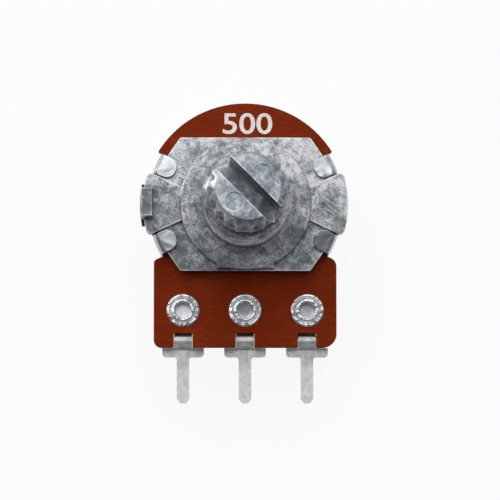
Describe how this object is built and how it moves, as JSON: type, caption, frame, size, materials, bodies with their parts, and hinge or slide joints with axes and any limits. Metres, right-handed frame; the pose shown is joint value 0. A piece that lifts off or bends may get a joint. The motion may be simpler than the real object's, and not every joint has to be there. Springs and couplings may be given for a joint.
{
  "type": "rotary potentiometer",
  "caption": "Panel potentiometer with a threaded zinc bushing, split knurled shaft, phenolic board, riveted pins for a circuit board and a folded steel cover.",
  "frame": {"origin": "on the shaft axis, in the boss face that seats on the panel", "axes": "+Z along the shaft, out of the panel; the pins point to -Y; +X to the right seen from the front"},
  "size_m": [0.0167, 0.0242, 0.0235],
  "materials": {
    "zinc_casting": "die-cast zinc, mottled satin grey",
    "shaft_zinc": "die-cast zinc, satin",
    "plated_steel": "plain stamped steel",
    "tinplate": "bright tin-plated steel sheet",
    "phenolic_board": "reddish brown paper phenolic",
    "tinned_terminal": "matte tinned brass strip",
    "bright_eyelet": "bright tinned brass, rolled",
    "carbon_ink": "black screen-printed carbon",
    "silver_ink": "dull screen-printed silver",
    "black_nylon": "black moulded nylon",
    "spring_bronze": "stamped phosphor bronze"
  },
  "bodies": {
    "housing": {"mounting_plate": "zinc_casting", "resistor_board": "phenolic_board", "carbon_track": "carbon_ink", "collector_track": "silver_ink", "left_end_track": "silver_ink", "right_end_track": "silver_ink", "rear_cover": "tinplate", "left_eyelet": "bright_eyelet", "left_terminal": "tinned_terminal", "middle_eyelet": "bright_eyelet", "middle_terminal": "tinned_terminal", "right_eyelet": "bright_eyelet", "right_terminal": "tinned_terminal"},
    "rotor": {"shaft": "shaft_zinc", "stop_washer": "plated_steel", "wiper_carrier": "black_nylon", "wiper_contact": "spring_bronze"}
  },
  "joints": [
    {"name": "shaft_turn", "type": "hinge", "parent": "housing", "child": "rotor", "pos_m": [0, 0, 0], "axis": [0, 0, 1], "range_deg": [-150, 150]}
  ]
}
